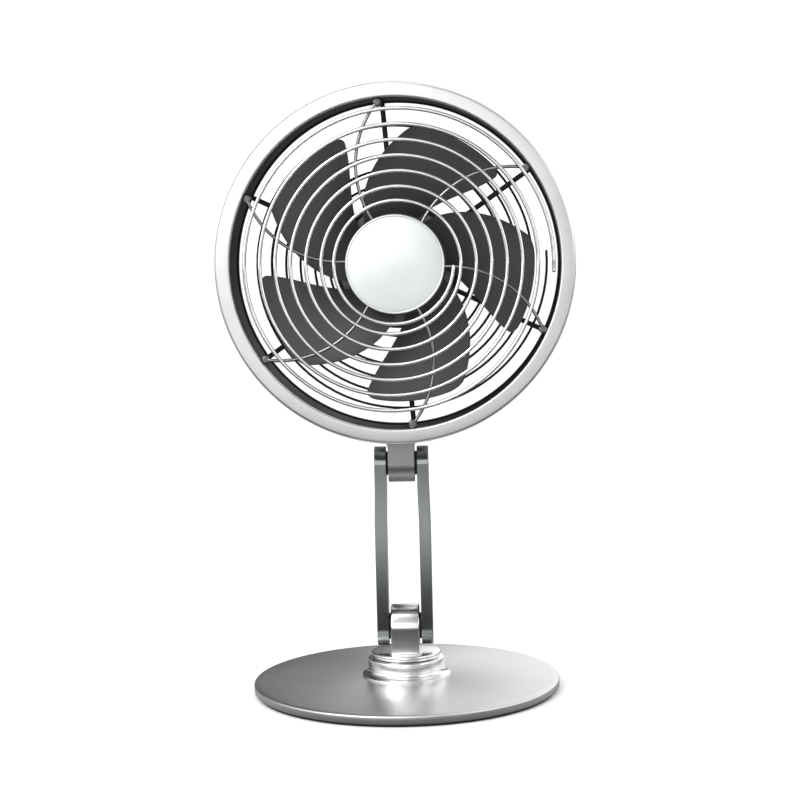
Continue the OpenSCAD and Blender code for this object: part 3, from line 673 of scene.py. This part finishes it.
# Rear guard: a flat ring, six bars and a centre plate, with the black spiral behind
frame_front, frame_back = -29.0, -32.0
plate_front = -25.6
bar_turn = 34.3
rear_wire_r = 0.8
ring_profile = rounded([(102.2, frame_back, 0.4), (103.27, frame_back, 0.2), (103.27, frame_front, 0.2),
                        (102.2, frame_front, 0.4)])
bars = []
for i in range(6):
    bar = slab([(39, -1.6), (102.8, -1.6), (102.8, 1.6), (39, 1.6)], frame_back, frame_front, 0.7)
    bars.append((moved(bar[0], turn=bar_turn + 60 * i), bar[1]))
plate_profile = rounded([(11, frame_back, 0.2), (41, frame_back, 0.3), (41, plate_front, 0.8),
                         (11, plate_front, 0.5)])
rear_ring, rear_plate = rings(ring_profile, 256, closed=True), rings(plate_profile, 128, closed=True)
build("rear_grille_frame", *join(rear_ring, rear_plate, *bars), HEAD, black_plastic, "head", ("rear_frame",),
      "black_plastic", 35)
build("rear_spiral", *wire(spiral_path(frame_back - rear_wire_r, 3, spiral_start, -1), rear_wire_r), HEAD,
      black_wire, "head", ("rear_guard_spiral",), "black_wire", 60)

# ---------------------------------------------------------------- impeller

hub_profile = [(2.6, 9.5), (6, 9.5), (6, 29.2), (28.8, 29.2), (28.8, 5.5), (29.2, 5.5), (30.7, 5.6),
               (31, 6.0), (31, 31.6), (30.8, 32.6), (30.2, 33.2), (29.2, 33.5), (9.4, 33.5), (9.0, 33.3),
               (9.0, 31.9), (2.6, 31.9)]
build("impeller_boss", *rings(hub_profile, 160, closed=True), HEAD, dark_blade, "rotor", ("impeller_hub",),
      "dark_blade", 35)

hexagon = polygon_radius(6, 9.5)
nut_profile = [(2.6, 31.9), (hexagon, 31.9), (hexagon, 34.3), (4.6, 34.85), (2.9, 34.85), (2.6, 34.6)]
build("impeller_nut", *rings(nut_profile, 48, closed=True), HEAD, steel, "rotor", ("hub_nut",),
      "fastener_steel", 25)

blade_root, blade_tip = 30.0, 85.0


def corner(s):
    """How far a quarter circle falls away, for s from 0 to 1"""
    s = max(0.0, min(1.0, s))
    return 1 - math.sqrt(1 - s * s)


def blade_surface(u, v):
    """Middle surface and half thickness; u runs from the rear edge to the front edge, v from root to tip"""
    angle = math.radians((65.3 - 47.7 * v + 22 * v * v) * (1 - u) + (127 - 42.2 * v) * u)
    tip = blade_tip * (1 - 0.075 * corner((u - 0.78) / 0.22) - 0.045 * corner((0.1 - u) / 0.1))
    r = blade_root + (tip - blade_root) * v
    back, front = 7.5 + 2 * v, 32.5 - 3 * v
    bow = math.sin(math.pi * u)
    z = back + (front - back) * u - 3 * bow * (1 - 0.3 * v)
    half = 0.3 + 0.8 * bow * (1 - 0.4 * v)
    return r * math.cos(angle), r * math.sin(angle), z, half


def blade():
    columns, rows = 56, 36
    us = [(1 - math.cos(math.pi * i / columns)) / 2 * 0.55 + 0.45 * i / columns for i in range(columns + 1)]
    vs = [j / rows for j in range(rows)] + [0.985, 1.0]
    points, faces = [], []
    grid = {}
    for side in (0, 1):
        for j, v in enumerate(vs):
            for i, u in enumerate(us):
                x, y, z, half = blade_surface(u, v)
                grid[side, i, j] = len(points)
                points.append((x, y, z + (half if side else -half)))
    m, n = len(us) - 1, len(vs) - 1
    for j in range(n):
        for i in range(m):
            a = [grid[1, i, j], grid[1, i + 1, j], grid[1, i + 1, j + 1], grid[1, i, j + 1]]
            b = [grid[0, i, j], grid[0, i, j + 1], grid[0, i + 1, j + 1], grid[0, i + 1, j]]
            faces += [a, b]
    edge = [(i, 0) for i in range(m)] + [(m, j) for j in range(n)] + [(i, n) for i in range(m, 0, -1)] \
        + [(0, j) for j in range(n, 0, -1)]
    for k in range(len(edge)):
        (i0, j0), (i1, j1) = edge[k], edge[(k + 1) % len(edge)]
        faces.append([grid[0, i0, j0], grid[0, i1, j1], grid[1, i1, j1], grid[1, i0, j0]])
    return points, faces


for i in range(5):
    points, faces = blade()
    piece = build(f"fan_blade_{i + 1}", moved(points, turn=-72 * i), faces, HEAD, dark_blade, "rotor",
                  (f"blade_{i + 1}",), "dark_blade", 70)
    smooth = piece.modifiers.new("round_edges", "SUBSURF")
    smooth.levels = smooth.render_levels = 1

# ---------------------------------------------------------------- speed knob


def knurl(radius):
    def at(a):
        return radius - 0.38 * max(0.0, math.cos(30 * a)) ** 1.5
    return at


knob_low = -knob_back
knob_profile = [(0, knob_low + 0.25), (4.6, knob_low + 0.22), (5.4, knob_low + 0.05), (8.6, knob_low),
                (9.1, knob_low + 0.1), (knurl(9.5), knob_low + 0.45), (knurl(9.9), knob_low + 1.1),
                (knurl(10.0), knob_low + 1.6), (knurl(10.0), knob_low + 7.4), (knurl(9.9), knob_low + 7.8),
                (9.4, knob_low + 8.1), (5.2, knob_low + 8.1), (5.0, knob_low + 8.2), (2.8, knob_low + 8.2),
                (2.8, knob_low + 14.2), (0, knob_low + 14.2)]
knob = rings(knob_profile, 360)
pointer_outline = rounded([(-0.45, 5.4, 0.3), (0.45, 5.4, 0.3), (0.45, 8.7, 0.3), (-0.45, 8.7, 0.3)])
pointer = slab(pointer_outline, knob_low, knob_low + 0.4, 0.12)
build("knob", *knob, HEAD, satin_silver, "knob", ("speed_knob",), "satin_silver", 35)
build("knob_pointer", *pointer, HEAD, black_plastic, "knob", (), "black_plastic", 35)

# ---------------------------------------------------------------- CAD nodes that stay


def dress(node, material, edge=0.0, segments=3):
    """A CAD node keeps its shape; its edges sharper than 40 degrees are rounded and it gets its finish"""
    piece = nodes[node]
    piece.data.materials.clear()
    piece.data.materials.append(material)
    if edge:
        weld = piece.modifiers.new("weld", "WELD")
        weld.merge_threshold = 2e-6
        flat = piece.modifiers.new("flat", "DECIMATE")
        flat.decimate_type = "DISSOLVE"
        flat.angle_limit = math.radians(0.6)
        rounding = piece.modifiers.new("edges", "BEVEL")
        rounding.width = edge * MM
        rounding.segments = segments
        rounding.limit_method = "ANGLE"
        rounding.angle_limit = math.radians(40)
        rounding.use_clamp_overlap = True
        shading = piece.modifiers.new("normals", "WEIGHTED_NORMAL")
        shading.keep_sharp = True


for node in ("left_arm", "right_arm"):
    dress(node, arm_metal, 0.9)
dress("head_bracket", bracket_metal, 0.6)
dress("rear_cover", black_plastic, 0.35)
dress("motor_case", motor_metal, 0.6)
for node in ("lower_pin", "upper_pin", "lower_pin_nut", "upper_pin_nut", "lower_disc_springs",
             "upper_disc_springs", "bracket_screws", "clamp_screws", "cover_screws", "motor_screws",
             "collar_screws", "turntable_bolt", "swivel_nut", "wave_washer", "motor_shaft", "front_bearing",
             "rear_bearing", "power_inlet"):
    dress(node, steel, 0.15, segments=2)
dress("slip_washer", nylon)
dress("hub_clamp", black_plastic, 0.3)
dress("stator_core", core_steel)
dress("stator_coils", copper_wire, 0.8)
dress("rotor_magnet", magnet, 0.3)
dress("control_board", board_green)
dress("speed_pot", black_plastic, 0.3)

# ---------------------------------------------------------------- floor, light and camera


def grey_ramp(nt, fac, stops):
    """Grey levels at positions along 0 to 1"""
    ramp = add(nt, "ShaderNodeValToRGB")
    ramp.color_ramp.interpolation = "EASE"
    for position, grey in stops[2:]:
        ramp.color_ramp.elements.new(position)
    for element, (position, grey) in zip(ramp.color_ramp.elements, stops):
        element.position = position
        element.color = (grey, grey, grey, 1)
    link(nt, fac, ramp.inputs["Fac"])
    return ramp.outputs["Color"]


def scaled(nt, value, low, high):
    """0 at low, 1 at high"""
    return math_node(nt, "DIVIDE", math_node(nt, "SUBTRACT", value, low), high - low)


def floor_and_painted_reflection(colour):
    """Pale floor paint. Glossy rays see a painted reflection on it instead: dark, with a pale strip in front
    of the fan, which the metal shows.
    """
    mat, nt, bsdf = tree("floor_and_painted_reflection")
    cloud = noise(nt, stretched(nt, (1, 1, 1)), 6.0)
    spot = add(nt, "ShaderNodeSeparateXYZ")
    link(nt, add(nt, "ShaderNodeTexCoord").outputs["Object"], spot.inputs[0])
    # Painted reflection: grey bands along the floor's y, seen only by glossy rays and never by the camera
    painted_reflection_strip = grey_ramp(nt, scaled(nt, spot.outputs["Y"], 0.4, -1.6),
                      [(0.0, 0.30), (0.20, 0.30), (0.26, 0.10), (0.33, 0.03), (0.40, 0.06), (0.50, 0.42),
                       (0.60, 0.93), (0.70, 0.93), (0.79, 0.35), (0.87, 0.03), (1.0, 0.4)])
    seen = add(nt, "ShaderNodeMix", data_type="RGBA")
    link(nt, add(nt, "ShaderNodeLightPath").outputs["Is Glossy Ray"], seen.inputs[0])
    link(nt, tint(nt, cloud, shade(colour, 0.99), colour), seen.inputs[6])
    link(nt, painted_reflection_strip, seen.inputs[7])
    link(nt, seen.outputs[2], bsdf.inputs["Base Color"])
    bsdf.inputs["Roughness"].default_value = 0.9
    bsdf.inputs["Specular IOR Level"].default_value = 0.1
    return mat


floor_mesh = bpy.data.meshes.new("floor")
reach = 30.0
floor_mesh.from_pydata([(-reach, -reach, 0), (reach, -reach, 0), (reach, reach, 0), (-reach, reach, 0)], [],
                       [(0, 1, 2, 3)])
floor = bpy.data.objects.new("floor", floor_mesh)
floor_mesh.materials.append(floor_and_painted_reflection((0.93, 0.93, 0.93)))
bpy.context.scene.collection.objects.link(floor)


def soft_light(name, size, power, location):
    data = bpy.data.lights.new(name, "AREA")
    data.shape = "RECTANGLE"
    data.size, data.size_y = size
    data.energy = power
    lamp = bpy.data.objects.new(name, data)
    lamp.location = location
    lamp.rotation_euler = (Vector((0, 0, 0.2)) - Vector(location)).to_track_quat("-Z", "Y").to_euler()
    bpy.context.scene.collection.objects.link(lamp)


soft_light("key", (1.2, 1.2), 22, (-1.1, -1.3, 1.5))
soft_light("fill", (1.0, 1.4), 5, (1.6, -1.0, 0.9))

world = bpy.data.worlds.new("studio")
bpy.context.scene.world = world
world.use_nodes = True
wt = world.node_tree
backdrop = wt.nodes["Background"]
backdrop.inputs["Color"].default_value = (1, 1, 1, 1)
backdrop.inputs["Strength"].default_value = 1.12
studio = add(wt, "ShaderNodeBackground")
coords = add(wt, "ShaderNodeTexCoord")
parts = add(wt, "ShaderNodeSeparateXYZ")
link(wt, coords.outputs["Generated"], parts.inputs[0])
east, north, height = parts.outputs
around = add(wt, "ShaderNodeMath", operation="ARCTAN2")
link(wt, east, around.inputs[0])
link(wt, math_node(wt, "MULTIPLY", north, -1.0), around.inputs[1])
turn = math_node(wt, "DIVIDE", around.outputs[0], TAU)  # 0 in front, a quarter on the right, a half behind


def times(a, b):
    both = add(wt, "ShaderNodeMix", data_type="RGBA", blend_type="MULTIPLY")
    both.inputs[0].default_value = 1.0
    link(wt, a, both.inputs[6])
    link(wt, b, both.inputs[7])
    return both.outputs[2]


# In front: a bright wall, a darker ceiling and a soft box overhead; brightest on the left, dim on the right
front = times(grey_ramp(wt, scaled(wt, height, -1.0, 1.0),
                        [(0.38, 0.5), (0.45, 1.0), (0.66, 1.0), (0.76, 0.45), (0.88, 0.45), (0.98, 1.0)]),
              grey_ramp(wt, scaled(wt, turn, -0.5, 0.5),
                        [(0.0, 0.2), (0.2, 0.5), (0.34, 1.0), (0.46, 1.0), (0.5, 0.9), (0.55, 0.38),
                         (0.66, 0.34), (0.8, 1.0), (0.9, 0.9), (1.0, 0.4)]))
# Behind: a dark wall up to the horizon, and above it a pale one, lighter towards the right
behind = times(grey_ramp(wt, scaled(wt, height, -1.0, 1.0),
                         [(0.40, 0.2), (0.50, 0.05), (0.54, 0.05), (0.58, 1.0), (0.72, 1.0), (0.80, 0.45),
                          (0.88, 0.45), (0.98, 1.0)]),
               grey_ramp(wt, scaled(wt, east, -0.5, 0.5),
                         [(0.34, 0.04), (0.43, 0.12), (0.52, 0.6), (0.58, 0.85)]))
room = add(wt, "ShaderNodeMix", data_type="RGBA")
link(wt, grey_ramp(wt, scaled(wt, north, -1.0, 1.0), [(0.55, 0.0), (0.85, 1.0)]), room.inputs[0])
link(wt, front, room.inputs[6])
link(wt, behind, room.inputs[7])
link(wt, room.outputs[2], studio.inputs["Color"])
studio.inputs["Strength"].default_value = 1.8
paths = add(wt, "ShaderNodeLightPath")
choose = add(wt, "ShaderNodeMixShader")
link(wt, paths.outputs["Is Glossy Ray"], choose.inputs[0])
link(wt, backdrop.outputs[0], choose.inputs[1])
link(wt, studio.outputs[0], choose.inputs[2])
link(wt, choose.outputs[0], wt.nodes["World Output"].inputs["Surface"])

bpy.context.scene.view_settings.view_transform = "Standard"

camera_data = bpy.data.cameras.new("camera")
camera_data.sensor_width = 36
camera_data.lens = 78.5
camera_data.clip_end = 100
camera = bpy.data.objects.new("camera", camera_data)
yaw, pitch, roll = math.radians(1.64), math.radians(-4.58), math.radians(1.4)
camera.matrix_world = Matrix.Translation((0.0312, -1.0914, 0.271)) @ Matrix.Rotation(yaw, 4, "Z") \
    @ Matrix.Rotation(math.pi / 2 + pitch, 4, "X") @ Matrix.Rotation(-roll, 4, "Z")
bpy.context.scene.collection.objects.link(camera)
bpy.context.scene.camera = camera
